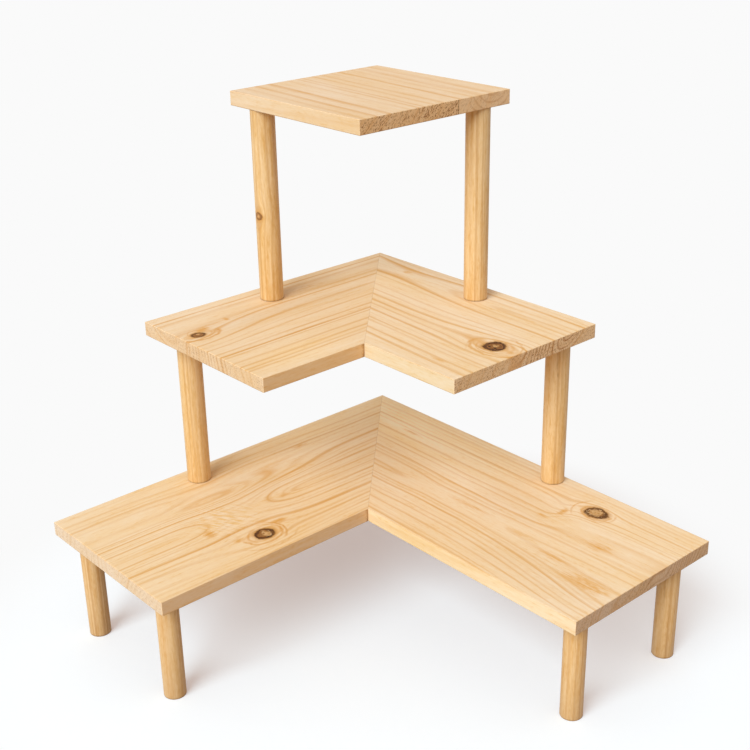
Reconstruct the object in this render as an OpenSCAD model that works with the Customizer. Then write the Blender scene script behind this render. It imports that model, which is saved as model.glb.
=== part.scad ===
// Three-tier corner display stand in solid pine.
// Two L-shaped shelves, each of two boards mitred at the back corner, and a square glued-up top
// shelf stand on plain round posts and five short round legs.
// The right arm runs along +X and the left arm along -Y. The floor is z = 0, and the origin is
// the middle of the bottom shelf's outline. Sizes are in millimetres.

/* [Shelf boards] */
// Width of the boards in both L-shaped shelves
board_w = 235; // [200:5:270]
// Thickness of every shelf board
board_t = 17.5; // [15:0.5:22]
// Outer length of the bottom shelf's left arm
bottom_left_len = 530; // [480:10:620]
// Outer length of the bottom shelf's right arm
bottom_right_len = 560; // [480:10:620]
// Outer length of the middle shelf's left arm
middle_left_len = 380; // [350:5:430]
// Outer length of the middle shelf's right arm
middle_right_len = 380; // [350:5:430]
// Radius that eases the outer edges of the boards
edge_r = 1; // [0.5:0.25:2]

/* [Top shelf] */
// Length of both staves of the top shelf, along the grain
top_len = 235; // [200:5:270]
// Width of the front stave
front_stave_w = 150; // [130:5:170]
// Width of the back stave
back_stave_w = 85; // [70:5:110]

/* [Posts between the shelves] */
// Diameter of the round posts
post_d = 29.5; // [24:0.5:34]
// Length of the lower posts, the clear height over the bottom shelf
lower_post_len = 199; // [150:1:260]
// Length of the upper posts, the clear height over the middle shelf
upper_post_len = 238; // [180:1:300]
// Bevel round both ends of the posts, legs and mitre dowels
end_bevel = 0.8; // [0.4:0.2:1.6]
// Gap from an arm's end of the middle shelf to the side of a lower post
lower_post_end_gap = 26; // [15:1:40]
// Gap from the back edge to the side of the lower left post
lower_left_back_gap = 14; // [5:1:25]
// Gap from the back edge to the side of the lower right post
lower_right_back_gap = 3; // [2:1:25]
// Gap from the top shelf's side to the side of an upper post
upper_post_side_gap = 1.5; // [1:0.5:15]
// Gap from the back edge to the side of the upper left post
upper_left_back_gap = 26; // [15:1:40]
// Gap from the back edge to the side of the upper right post
upper_right_back_gap = 22; // [15:1:40]

/* [Legs] */
// Diameter of the legs
leg_d = 26; // [22:0.5:30]
// Length of the legs, the clear height under the bottom shelf
leg_len = 131.5; // [100:0.5:180]
// Gap from an arm's end to the side of its legs
leg_end_gap = 12; // [6:1:30]
// Gap from the back edges to the side of the rear legs and the corner leg
leg_back_gap = 24; // [12:1:40]
// Gap from an arm's front edge to the side of its front leg
leg_front_gap = 19; // [10:1:40]
// Distance along the right arm from the back corner to the corner leg's centre
corner_leg_along = 70; // [65:1:110]

/* [Mitre dowels] */
// Diameter of the dowels across each mitre
dowel_d = 8; // [6:0.5:9]
// Length of each mitre dowel, half in each board
dowel_len = 40; // [30:1:50]
// Number of dowels in each mitre
dowel_count = 3; // [2:1:4]
// Distance along the mitre from each of its ends to the nearest dowel
dowel_end_gap = 52; // [48:1:58]

/* [Dowel screws in the tops of posts and legs] */
// Diameter of the double-ended dowel screws
dowel_screw_d = 6; // [5:0.5:7]
// Depth of a dowel screw in the top of its post or leg
dowel_screw_depth = 28; // [20:1:35]
// Length of the point at each end of a dowel screw
dowel_screw_point = 4; // [2:0.5:6]
// Wood left over the blind bore of a dowel screw
bore_skin = 4; // [3:0.5:6]

/* [Wood screws in the bases of posts] */
// Outer diameter of the shank of a base screw
base_screw_d = 4.5; // [4:0.1:5]
// Diameter of the threaded core of a base screw, where it bites in the post
base_screw_core_d = 3.4; // [3:0.1:3.8]
// Length of a base screw from its head to its point
base_screw_len = 45; // [40:1:55]
// Length of the point of a base screw
base_screw_point = 5; // [3:0.5:8]
// Diameter of a base screw's countersunk head
screw_head_d = 8.8; // [8:0.2:10]
// Depth of a base screw's head below the underside of its shelf
screw_head_sink = 0.4; // [0.2:0.1:1]
// Span of the cross recess in a base screw's head
recess_span = 4; // [3.6:0.1:4.2]
// Width of the blades of the cross recess
recess_w = 1; // [0.8:0.1:1.4]
// Depth of the cross recess
recess_depth = 1.6; // [1:0.1:1.8]

/* [Clearances] */
// Clearance all round a dowel or screw in its bore
bore_fit = 0.1; // [0.05:0.05:0.25]
// Empty length left past the end of a dowel or screw in a blind bore
bore_spare = 0.8; // [0.4:0.1:0.9]

/* [Hidden] */
$fn = 64;

// Length by which a cutter passes the face that it opens
past = 1;
// Pale sawn board, golden turned stock, beech pin and zinc-plated steel
board_colour = [0.90, 0.76, 0.56];
post_colour = [0.85, 0.66, 0.41];
pin_colour = [0.80, 0.64, 0.45];
steel_colour = [0.72, 0.72, 0.70];

// Heights of the undersides of the shelves
bottom_z = leg_len;
middle_z = bottom_z + board_t + lower_post_len;
top_z = middle_z + board_t + upper_post_len;
top_w = front_stave_w + back_stave_w;

// Places in arm terms: [distance along the arm from the back corner, distance from the back edge]
lower_left_at = [middle_left_len - lower_post_end_gap - post_d / 2, lower_left_back_gap + post_d / 2];
lower_right_at = [middle_right_len - lower_post_end_gap - post_d / 2, lower_right_back_gap + post_d / 2];
upper_left_at = [top_w - upper_post_side_gap - post_d / 2, upper_left_back_gap + post_d / 2];
upper_right_at = [top_len - upper_post_side_gap - post_d / 2, upper_right_back_gap + post_d / 2];
rear_row = leg_back_gap + leg_d / 2;
front_row = board_w - leg_front_gap - leg_d / 2;
left_end = bottom_left_len - leg_end_gap - leg_d / 2;
right_end = bottom_right_len - leg_end_gap - leg_d / 2;
left_legs_at = [[left_end, rear_row], [left_end, front_row]];
right_legs_at = [[right_end, rear_row], [right_end, front_row], [corner_leg_along, rear_row]];

mitre_len = board_w * sqrt(2);
dowel_pitch = (mitre_len - 2 * dowel_end_gap) / (dowel_count - 1);
board_bore_depth = board_t - bore_skin;
dowel_screw_in_board = board_bore_depth - bore_spare;

// Moves work from the back corner's frame to the stand's own frame
module from_corner(z) {
    translate([-bottom_right_len / 2, bottom_left_len / 2, z]) children();
}

// Mirrors work on the right arm to the left arm, across the mitre plane
module on_left() {
    mirror([1, 1, 0]) children();
}

// Puts its children at each place of an arm
module at_places(places) {
    for (p = places) translate([p[0], -p[1], 0]) children();
}

// Waste along +X that rounds the edge at the origin of a solid lying in -Y and -Z
module edge_waste(len) {
    translate([-past, 0, 0]) rotate([90, 0, 90]) linear_extrude(len + 2 * past)
        translate([-edge_r, -edge_r]) difference() {
            square(edge_r + past);
            circle(r = edge_r);
        }
}

// Waste along both long arrises of a face that runs along +X at y = 0
module face_waste(len) {
    translate([0, 0, board_t]) edge_waste(len);
    mirror([0, 0, 1]) edge_waste(len);
}

// Waste down the upright arris at the origin of a solid lying in -X and -Y
module corner_waste() {
    translate([0, 0, board_t]) rotate([0, 90, 0]) edge_waste(board_t);
}

// Board of the right arm: square outer end, mitred at 45 degrees from the back corner
module mitred_board(len) {
    difference() {
        linear_extrude(board_t) polygon([[0, 0], [len, 0], [len, -board_w], [board_w, -board_w]]);
        face_waste(len);
        translate([len, -board_w, 0]) rotate(180) face_waste(len - board_w);
        translate([len, 0, 0]) rotate(-90) face_waste(board_w);
        translate([len, 0, 0]) corner_waste();
        translate([len, -board_w, 0]) rotate(-90) corner_waste();
        mirror([1, 0, 0]) corner_waste();
    }
}

// One stave of the top shelf, running along +X from the origin into -Y.
// Its outer edge at y = 0 and both ends are eased, and its glued edge at y = -w is square.
module stave(w) {
    difference() {
        translate([0, -w, 0]) cube([top_len, w, board_t]);
        face_waste(top_len);
        translate([top_len, 0, 0]) rotate(-90) face_waste(w);
        translate([0, -w, 0]) rotate(90) face_waste(w);
        translate([top_len, 0, 0]) corner_waste();
        mirror([1, 0, 0]) corner_waste();
    }
}

// Puts its children square across the mitre at each dowel, at mid-thickness, with +Z as its axis
module at_mitre_dowels() {
    for (i = [0:dowel_count - 1]) {
        s = (dowel_end_gap + i * dowel_pitch) / sqrt(2);
        translate([s, -s, board_t / 2]) rotate([0, 90, 45]) children();
    }
}

module mitre_bores() {
    bore_len = dowel_len + 2 * bore_spare;
    at_mitre_dowels() cylinder(d = dowel_d + 2 * bore_fit, h = bore_len, center = true);
}

module mitre_dowels() {
    at_mitre_dowels() translate([0, 0, -dowel_len / 2]) bevelled_bar(dowel_d, dowel_len);
}

// Round bar along +Z with both ends bevelled
module bevelled_bar(d, len) {
    rotate_extrude() polygon([
        [0, 0], [d / 2 - end_bevel, 0], [d / 2, end_bevel],
        [d / 2, len - end_bevel], [d / 2 - end_bevel, len], [0, len]
    ]);
}

// Blind bore for a dowel screw, up into a board from its underside
module board_screw_bore() {
    translate([0, 0, -past]) cylinder(d = dowel_screw_d + 2 * bore_fit, h = board_bore_depth + past);
}

// Blind bore for a dowel screw, down into a post or leg from its top
module post_screw_bore(len) {
    depth = dowel_screw_depth + bore_spare;
    translate([0, 0, len - depth]) cylinder(d = dowel_screw_d + 2 * bore_fit, h = depth + past);
}

// Double-ended dowel screw, with z = 0 where the post or leg meets the board
module dowel_screw() {
    r = dowel_screw_d / 2;
    rotate_extrude() polygon([
        [0, -dowel_screw_depth], [r, -dowel_screw_depth + dowel_screw_point],
        [r, dowel_screw_in_board - dowel_screw_point], [0, dowel_screw_in_board]
    ]);
}

// Countersunk clearance hole for a base screw, through a board from its underside
module base_screw_hole() {
    shank_r = base_screw_d / 2 + bore_fit;
    head_r = screw_head_d / 2 + bore_fit;
    rotate_extrude() polygon([
        [0, -past], [head_r, -past], [head_r, screw_head_sink],
        [shank_r, screw_head_sink + head_r - shank_r], [shank_r, board_t + past], [0, board_t + past]
    ]);
}

// Countersunk wood screw, with z = 0 at the underside of its board and its point upwards
module base_screw() {
    shank_r = base_screw_d / 2;
    head_r = screw_head_d / 2;
    core_r = base_screw_core_d / 2;
    tip_z = screw_head_sink + base_screw_len;
    difference() {
        rotate_extrude() polygon([
            [0, screw_head_sink], [head_r, screw_head_sink],
            [shank_r, screw_head_sink + head_r - shank_r], [shank_r, board_t],
            [core_r, board_t], [core_r, tip_z - base_screw_point], [0, tip_z]
        ]);
        for (a = [45, 135]) rotate(a)
            translate([-recess_span / 2, -recess_w / 2, screw_head_sink - past])
                cube([recess_span, recess_w, recess_depth + past]);
    }
}

// Post between two shelves: pilot bore in its base, dowel screw bore in its top
module post(len) {
    pilot_depth = screw_head_sink + base_screw_len - board_t + bore_spare;
    difference() {
        bevelled_bar(post_d, len);
        translate([0, 0, -past])
            cylinder(d = base_screw_core_d + 2 * bore_fit, h = pilot_depth + past);
        post_screw_bore(len);
    }
}

module leg() {
    difference() {
        bevelled_bar(leg_d, leg_len);
        post_screw_bore(leg_len);
    }
}

module bottom_left_board() {
    color(board_colour) from_corner(bottom_z) difference() {
        on_left() mitred_board(bottom_left_len);
        mitre_bores();
        on_left() at_places(left_legs_at) board_screw_bore();
        on_left() at_places([lower_left_at]) base_screw_hole();
    }
}

module bottom_right_board() {
    color(board_colour) from_corner(bottom_z) difference() {
        mitred_board(bottom_right_len);
        mitre_bores();
        at_places(right_legs_at) board_screw_bore();
        at_places([lower_right_at]) base_screw_hole();
    }
}

module middle_left_board() {
    color(board_colour) from_corner(middle_z) difference() {
        on_left() mitred_board(middle_left_len);
        mitre_bores();
        on_left() at_places([lower_left_at]) board_screw_bore();
        on_left() at_places([upper_left_at]) base_screw_hole();
    }
}

module middle_right_board() {
    color(board_colour) from_corner(middle_z) difference() {
        mitred_board(middle_right_len);
        mitre_bores();
        at_places([lower_right_at]) board_screw_bore();
        at_places([upper_right_at]) base_screw_hole();
    }
}

module top_front_stave() {
    color(board_colour) from_corner(top_z) difference() {
        translate([0, -top_w, 0]) mirror([0, 1, 0]) stave(front_stave_w);
        on_left() at_places([upper_left_at]) board_screw_bore();
    }
}

module top_back_stave() {
    color(board_colour) from_corner(top_z) difference() {
        stave(back_stave_w);
        at_places([upper_right_at]) board_screw_bore();
    }
}

module lower_left_post() {
    color(post_colour) from_corner(bottom_z + board_t) on_left()
        at_places([lower_left_at]) post(lower_post_len);
}

module lower_right_post() {
    color(post_colour) from_corner(bottom_z + board_t)
        at_places([lower_right_at]) post(lower_post_len);
}

module upper_left_post() {
    color(post_colour) from_corner(middle_z + board_t) on_left()
        at_places([upper_left_at]) post(upper_post_len);
}

module upper_right_post() {
    color(post_colour) from_corner(middle_z + board_t)
        at_places([upper_right_at]) post(upper_post_len);
}

module left_rear_leg() {
    color(post_colour) from_corner(0) on_left() at_places([left_legs_at[0]]) leg();
}

module left_front_leg() {
    color(post_colour) from_corner(0) on_left() at_places([left_legs_at[1]]) leg();
}

module right_rear_leg() {
    color(post_colour) from_corner(0) at_places([right_legs_at[0]]) leg();
}

module right_front_leg() {
    color(post_colour) from_corner(0) at_places([right_legs_at[1]]) leg();
}

module corner_leg() {
    color(post_colour) from_corner(0) at_places([right_legs_at[2]]) leg();
}

module bottom_mitre_dowels() {
    color(pin_colour) from_corner(bottom_z) mitre_dowels();
}

module middle_mitre_dowels() {
    color(pin_colour) from_corner(middle_z) mitre_dowels();
}

module leg_dowel_screws() {
    color(steel_colour) from_corner(bottom_z) {
        on_left() at_places(left_legs_at) dowel_screw();
        at_places(right_legs_at) dowel_screw();
    }
}

module lower_post_dowel_screws() {
    color(steel_colour) from_corner(middle_z) {
        on_left() at_places([lower_left_at]) dowel_screw();
        at_places([lower_right_at]) dowel_screw();
    }
}

module upper_post_dowel_screws() {
    color(steel_colour) from_corner(top_z) {
        on_left() at_places([upper_left_at]) dowel_screw();
        at_places([upper_right_at]) dowel_screw();
    }
}

module lower_post_base_screws() {
    color(steel_colour) from_corner(bottom_z) {
        on_left() at_places([lower_left_at]) base_screw();
        at_places([lower_right_at]) base_screw();
    }
}

module upper_post_base_screws() {
    color(steel_colour) from_corner(middle_z) {
        on_left() at_places([upper_left_at]) base_screw();
        at_places([upper_right_at]) base_screw();
    }
}

bottom_left_board();
bottom_right_board();
middle_left_board();
middle_right_board();
top_front_stave();
top_back_stave();
lower_left_post();
lower_right_post();
upper_left_post();
upper_right_post();
left_rear_leg();
left_front_leg();
right_front_leg();
right_rear_leg();
corner_leg();
bottom_mitre_dowels();
middle_mitre_dowels();
leg_dowel_screws();
lower_post_dowel_screws();
upper_post_dowel_screws();
lower_post_base_screws();
upper_post_base_screws();
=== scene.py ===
import math
from functools import partial

import bpy
from mathutils import Matrix, Vector


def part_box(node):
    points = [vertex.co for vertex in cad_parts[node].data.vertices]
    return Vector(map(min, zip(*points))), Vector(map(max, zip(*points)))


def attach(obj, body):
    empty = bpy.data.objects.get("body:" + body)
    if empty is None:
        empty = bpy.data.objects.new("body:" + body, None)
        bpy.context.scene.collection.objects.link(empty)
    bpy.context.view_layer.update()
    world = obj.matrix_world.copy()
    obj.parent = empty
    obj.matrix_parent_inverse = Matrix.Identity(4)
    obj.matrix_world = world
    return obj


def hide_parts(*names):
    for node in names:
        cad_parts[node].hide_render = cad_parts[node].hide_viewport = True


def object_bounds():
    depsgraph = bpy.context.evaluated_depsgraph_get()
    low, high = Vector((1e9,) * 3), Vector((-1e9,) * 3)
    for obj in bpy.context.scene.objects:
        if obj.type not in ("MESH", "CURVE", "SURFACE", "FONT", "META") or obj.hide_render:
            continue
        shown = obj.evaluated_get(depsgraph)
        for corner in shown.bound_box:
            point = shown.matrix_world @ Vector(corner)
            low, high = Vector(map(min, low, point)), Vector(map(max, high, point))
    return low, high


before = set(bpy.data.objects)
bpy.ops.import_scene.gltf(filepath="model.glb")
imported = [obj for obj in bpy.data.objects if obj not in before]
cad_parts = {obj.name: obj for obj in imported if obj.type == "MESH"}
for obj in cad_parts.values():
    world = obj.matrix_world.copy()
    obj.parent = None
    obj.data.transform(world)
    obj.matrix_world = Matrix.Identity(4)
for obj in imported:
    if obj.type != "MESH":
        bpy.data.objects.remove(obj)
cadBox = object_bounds()
print("frame loaded,", len(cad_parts), "nodes")

mm = 0.001
toMillimetres = (1 / mm, 1 / mm, 1 / mm)


def addObject(name, data):
    made = bpy.data.objects.new(name, data)
    bpy.context.scene.collection.objects.link(made)
    return made


# Camera

cameraView = {
    "eye": (0.9644, -0.8396, 0.9070),
    "target": (-0.0756, 0.0722, 0.3032),
    "angle": 33.18,  # degrees across the square picture
    "roll": -1.094,  # degrees
    "farthest": 60.0,
}


def makeCamera():
    data = bpy.data.cameras.new("standCamera")
    data.sensor_fit = "HORIZONTAL"
    data.angle = math.radians(cameraView["angle"])
    data.clip_end = cameraView["farthest"]
    camera = addObject("standCamera", data)
    eye = Vector(cameraView["eye"])
    turn = (Vector(cameraView["target"]) - eye).to_track_quat("-Z", "Y").to_matrix().to_4x4()
    roll = Matrix.Rotation(math.radians(cameraView["roll"]), 4, "Z")
    camera.matrix_world = Matrix.Translation(eye) @ turn @ roll
    bpy.context.scene.camera = camera


makeCamera()

# Node helpers


def plug(socket, value):
    if isinstance(value, bpy.types.NodeSocket):
        socket.id_data.links.new(value, socket)
    else:
        socket.default_value = value


def addNode(kind, values=(), tree=None, **settings):
    # with no tree given, the node goes where the first socket among its values is
    values = dict(values)
    tree = tree or next(v.id_data for v in values.values() if isinstance(v, bpy.types.NodeSocket))
    made = tree.nodes.new(kind)
    for name, setting in settings.items():
        setattr(made, name, setting)
    for name, value in values.items():
        plug(made.inputs[name], value)
    return made


def calc(operation, *values):
    return addNode("ShaderNodeMath", enumerate(values), operation=operation).outputs[0]


def vectorCalc(operation, *values):
    made = addNode("ShaderNodeVectorMath", enumerate(values), operation=operation)
    return made.outputs["Value" if operation in ("DOT_PRODUCT", "LENGTH") else "Vector"]


plus = partial(calc, "ADD")
less = partial(calc, "SUBTRACT")
times = partial(calc, "MULTIPLY")
over = partial(calc, "DIVIDE")
scaled = partial(calc, "MULTIPLY_ADD")  # value, factor, what is added
absolute = partial(calc, "ABSOLUTE")
larger = partial(calc, "MAXIMUM")
smaller = partial(calc, "MINIMUM")


def hypotenuse(first, second):
    return calc("SQRT", scaled(first, first, times(second, second)))


def fade(value, low, high):
    # goes smoothly from 0 to 1 as the value goes from low to high
    values = enumerate((value, low, high))
    return addNode("ShaderNodeMapRange", values, interpolation_type="SMOOTHSTEP").outputs[0]


def blend(share, first, second, mode="MIX"):
    values = {0: share, 6: first, 7: second}
    return addNode("ShaderNodeMix", values, data_type="RGBA", blend_type=mode).outputs[2]


def noise(place, stretch, seed=0.0, detail=1.0):
    # smooth noise, mostly between -1 and 1, with one bump every stretch millimetres
    small = vectorCalc("MULTIPLY", place, tuple(1 / s for s in stretch))
    values = {"Vector": small, "W": seed, "Scale": 1.0, "Detail": detail}
    return scaled(addNode("ShaderNodeTexNoise", values, noise_dimensions="4D").outputs[0], 4.0, -2.0)


def splitPlace(place):
    return tuple(addNode("ShaderNodeSeparateXYZ", {0: place}).outputs)


def joinPlace(*values):
    return addNode("ShaderNodeCombineXYZ", enumerate(values)).outputs[0]


valueKinds = {float: "Float", int: "Int", tuple: "Vector"}
outputKinds = {"Place": "Vector", "Pieces": "Geometry"}


def newTree(kind, name, inputs, outputs):
    # an input takes its kind from its value, or is named by it where it has no value yet
    tree = bpy.data.node_groups.new(name, kind)

    def addSocket(label, way, socketKind):
        return tree.interface.new_socket(label, in_out=way, socket_type="NodeSocket" + socketKind)

    for label, value in inputs.items():
        if isinstance(value, str):
            addSocket(label, "INPUT", value)
        else:
            addSocket(label, "INPUT", valueKinds[type(value)]).default_value = value
    for label in outputs:
        addSocket(label, "OUTPUT", outputKinds.get(label, "Float"))
    return tree, tree.nodes.new("NodeGroupInput").outputs, tree.nodes.new("NodeGroupOutput").inputs


newGroup = partial(newTree, "ShaderNodeTree")
newShape = partial(newTree, "GeometryNodeTree")


def startTree(owner, outputKind):
    # the emptied tree of a material or world, and the socket that its shader goes into
    owner.use_nodes = True
    tree = owner.node_tree
    tree.nodes.clear()
    return tree, addNode(outputKind, tree=tree).inputs[0]


def startMaterial(name, placing):
    # placing turns the object's own coordinates into millimetres along, across and up
    material = bpy.data.materials.new(name)
    tree, output = startTree(material, "ShaderNodeOutputMaterial")
    shader = addNode("ShaderNodeBsdfPrincipled", tree=tree)
    plug(output, shader.outputs[0])
    where = addNode("ShaderNodeTexCoord", tree=tree).outputs
    place = addNode("ShaderNodeMapping", dict(placing, Vector=where["Object"])).outputs[0]
    return material, shader.inputs, place, where["Normal"]


def tint(*shown):
    # a colour as a screen shows it, 0 to 255, turned into light
    def toLight(c):
        c = c / 255
        return c / 12.92 if c <= 0.04045 else ((c + 0.055) / 1.055) ** 2.4

    return (*(toLight(c) for c in shown), 1.0)


# Wood groups. Places are in millimetres: along the grain, across the board, and up from its top face.
# du and dv are the distances from the middle of a figure, along and across.

knotLook = {
    # shares of the knot's radius
    "solid": 0.9,
    "outside": 1.05,
    "softEdge": 0.22,
    "fringe": 0.3,
    "rimLine": 0.87,
    "rimLineWidth": 0.17,
    "cracks": (0.85, 0.6),
    "lastStripe": 0.3,
    "glowWidth": 1.3,
    # how far the ragged and the wobbly noise roughen a distance
    "rough": (0.06, 0.1),
    "roughHeart": (0.5, 0.4),
    "roughGlow": (0.14, 0.25),
    # spans of fades
    "softSpan": (-0.2, 1.0),
    "heartSpan": (1.2, 0.6),
    "glowSpan": (1.6, 0.5),
    "brokenSpan": (-1.1, 0.3),
    "fleckSpan": (0.35, 1.1),
    "crackSpan": (0.16, 0.02),
    # stripes
    "stripeTurn": 15.0,  # radians in a radius
    "stripeWobble": 3.0,
    "raggedStripe": 0.3,
    # strengths
    "fringeStrength": 0.8,
    "stripeStrength": 0.4,
    "rimLineStrength": 0.9,
    "crackStrength": 0.55,
}


figurePlace = {"Place": (0, 0, 0), "Along": 0.0, "Across": 0.0}


def makeKnotGroup():
    tree, given, result = newGroup(
        "knot",
        {
            **figurePlace, "Radius": 10.0, "Stretch": 1.1, "Reach": 2.2, "Depth": 1.0, "Heart along": 0.0,
            "Heart across": 0.0, "Heart size": 4.0, "Glow size": 1.7, "Seed": 0.0,
        },
        ("Place", "Core", "Stripe", "Heart", "Fleck", "Fringe", "Glow"),
    )
    place, radius, seed = given["Place"], given["Radius"], given["Seed"]
    solid, outside = knotLook["solid"], knotLook["outside"]
    along, across, up = splitPlace(place)
    du = less(along, given["Along"])
    dv = less(across, given["Across"])

    # the grain parts and flows round the knot
    longU = over(du, given["Reach"])
    far2 = scaled(longU, longU, times(dv, dv))
    radius2 = times(radius, radius)
    pushed = over(radius2, larger(far2, radius2))
    flow = scaled(times(dv, pushed), -1.0, across)
    plug(result["Place"], joinPlace(along, flow, up))

    # the branch itself: dark ragged wood, softer on one side, round a paler heart
    wobble = noise(place, (9, 8, 30), seed)
    ragged = noise(place, (2.6, 2.0, 30), seed, 2.0)

    def roughen(distance, strengths):
        return scaled(wobble, strengths[1], scaled(ragged, strengths[0], distance))

    distance = over(hypotenuse(over(du, given["Stretch"]), dv), radius)
    rough = roughen(distance, knotLook["rough"])
    softSide = fade(noise(place, (16, 16, 60), plus(seed, 3.0)), *knotLook["softSpan"])
    rim = scaled(softSide, knotLook["softEdge"], outside)
    plug(result["Core"], times(fade(rough, rim, solid), given["Depth"]))
    fringe = fade(rough, plus(rim, knotLook["fringe"]), solid)
    plug(result["Fringe"], times(fringe, knotLook["fringeStrength"]))
    turned = scaled(rough, knotLook["stripeTurn"], times(wobble, knotLook["stripeWobble"]))
    inside = fade(rough, outside, knotLook["lastStripe"])
    stripe = scaled(calc("SINE", turned), knotLook["stripeStrength"], inside)
    plug(result["Stripe"], scaled(ragged, knotLook["raggedStripe"], stripe))
    heartU = less(du, given["Heart along"])
    heartV = less(dv, given["Heart across"])
    inner = over(hypotenuse(heartU, heartV), given["Heart size"])
    plug(result["Heart"], fade(roughen(inner, knotLook["roughHeart"]), *knotLook["heartSpan"]))

    # dark flecks along the rim and in it, and a few cracks inside
    specks = noise(place, (1.9, 1.6, 30), plus(seed, 5.0))
    rimLine = fade(absolute(less(rough, knotLook["rimLine"])), knotLook["rimLineWidth"], 0.02)
    rimLine = times(rimLine, fade(specks, *knotLook["brokenSpan"]))
    fleck = fade(specks, *knotLook["fleckSpan"])
    fleck = larger(fleck, times(rimLine, knotLook["rimLineStrength"]))
    crack = fade(absolute(scaled(wobble, 1.2, ragged)), *knotLook["crackSpan"])
    crack = times(crack, fade(rough, *knotLook["cracks"]))
    plug(result["Fleck"], larger(fleck, times(crack, knotLook["crackStrength"])))

    # golden wood round it, pointed along the grain
    sideways = over(absolute(dv), times(radius, knotLook["glowWidth"]))
    ends = over(du, times(radius, given["Glow size"]))
    lens = roughen(scaled(ends, ends, sideways), knotLook["roughGlow"])
    plug(result["Glow"], fade(lens, *knotLook["glowSpan"]))
    return tree


def ovalPlace(given):
    # 1 from the middle is the oval's edge, along and across
    along, across, _ = splitPlace(given["Place"])
    du = over(less(along, given["Along"]), given["Length"])
    dv = over(less(across, given["Across"]), given["Width"])
    return du, dv


swirlLook = {"bend": 0.07, "endSpan": (-0.2, 0.3), "patchy": (0.3, 0.8)}


def makeSwirlGroup():
    # part of an oval line, as the grain draws round a knot
    tree, given, result = newGroup(
        "swirl",
        {
            **figurePlace, "Length": 20.0, "Width": 15.0, "Turn": 0.0, "Open": 0.0, "Thickness": 3.0,
            "Strength": 0.7,
        },
        ("Line",),
    )
    place, turn = given["Place"], given["Turn"]
    du, dv = ovalPlace(given)
    far = hypotenuse(du, dv)
    bend = noise(place, (12, 9, 30), 7.0, 2.0)
    off = less(scaled(bend, swirlLook["bend"], far), 1.0)
    line = fade(absolute(times(off, given["Width"])), given["Thickness"], 0.0)
    turned = scaled(calc("SINE", turn), dv, times(calc("COSINE", turn), du))
    ahead = over(turned, larger(far, 0.01))
    part = fade(less(ahead, given["Open"]), *swirlLook["endSpan"])
    streak = scaled(noise(place, (6, 3, 30), 8.0), *swirlLook["patchy"])
    plug(result["Line"], times(times(times(line, part), streak), given["Strength"]))
    return tree


def makeHumpGroup():
    # a smooth hump, which lifts the year rings or marks a spot
    tree, given, result = newGroup(
        "hump",
        {**figurePlace, "Length": 60.0, "Width": 15.0, "Height": 8.0, "Steep": 1.0},
        ("Lift",),
    )
    du, dv = ovalPlace(given)
    far = scaled(dv, dv, calc("POWER", times(du, du), given["Steep"]))
    plug(result["Lift"], times(calc("EXPONENT", times(far, -1.0)), given["Height"]))
    return tree


grainLayers = {
    # stretch in millimetres, shift of the seed, detail
    "slow": ((190, 45, 45), 0.0, 2.0),
    "fine": ((34, 0.9, 0.9), 0.0, 2.0),
    "coarse": ((90, 3.0, 3.0), 0.0, 1.0),
    "canal": ((8, 0.8, 0.8), 0.0, 0.0),
    "broad": ((230, 42, 42), 4.0, 2.0),
    "grit": ((40, 1.5, 1.5), 8.0, 2.0),
    "short": ((8, 1.5, 1.5), 12.0, 3.0),
    "long": ((48, 4.5, 4.5), 16.0, 1.0),
}
grainMixes = {"Fibre": {"fine": 0.6, "coarse": 0.6}, "Mottle": {"long": 0.55, "short": 0.65}}
canalSpan = (0.95, 1.35)


def makeGrainGroup():
    tree, given, result = newGroup(
        "pineGrain",
        {
            "Place": (0, 0, 0), "Lift": 0.0, "Deeper": 0.0, "Seed": 0.0, "Pith across": 120.0,
            "Pith tilt": 0.0, "Pith depth": 10.0, "Far side": 1.0, "Waver": 1.3, "Slant": 0.0,
        },
        ("Distance", "Drift", "Fine", "Fibre", "Canal", "Broad", "Grit", "Mottle"),
    )
    place, seed = given["Place"], given["Seed"]
    along, across, up = splitPlace(place)
    layers = {}
    for name, (stretch, shift, detail) in grainLayers.items():
        layers[name] = noise(place, stretch, plus(seed, shift), detail)

    # the distance from the pith, which lies along the board
    bent = scaled(up, given["Slant"], scaled(layers["slow"], given["Waver"], across))
    dv = less(bent, scaled(along, given["Pith tilt"], given["Pith across"]))
    dv = larger(times(dv, -1.0), times(dv, given["Far side"]))
    dw = less(plus(given["Pith depth"], given["Deeper"]), up)
    distance = plus(hypotenuse(dv, dw), given["Lift"])
    plug(result["Distance"], distance)

    # the dark lines come and go along the board
    ringed = joinPlace(along, distance, 0.0)
    plug(result["Drift"], noise(ringed, (110, 11, 1), seed))
    plug(result["Fine"], noise(ringed, (170, 1.9, 1), plus(seed, 2.0), 2.0))

    plug(result["Broad"], layers["broad"])
    plug(result["Grit"], layers["grit"])
    plug(result["Canal"], fade(layers["canal"], *canalSpan))
    for name, shares in grainMixes.items():
        mixed = 0.0
        for layer, share in shares.items():
            mixed = scaled(layers[layer], share, mixed)
        plug(result[name], mixed)
    return tree


knotGroup = makeKnotGroup()
swirlGroup = makeSwirlGroup()
humpGroup = makeHumpGroup()
grainGroup = makeGrainGroup()
print("wood groups made")

# Pine materials

ringSpan = 170.0  # the widest distance from the pith that holds a dark line
linesPerRamp = 10
lineShape = ((-0.75, 0.0), (0.0, 1.0), (0.45, 0.0))  # shares of a line's width and darkness
facingSpan = (0.75, 0.95)  # how squarely a face has to look along an axis
fibreBump = {"Strength": 0.2, "Distance": 0.2 * mm}

figureKinds = (
    "humps", "hollows", "knots", "ripples", "quiet", "sapwood", "heartwood", "marks", "streaks", "swirls",
    "dots",
)

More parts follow.
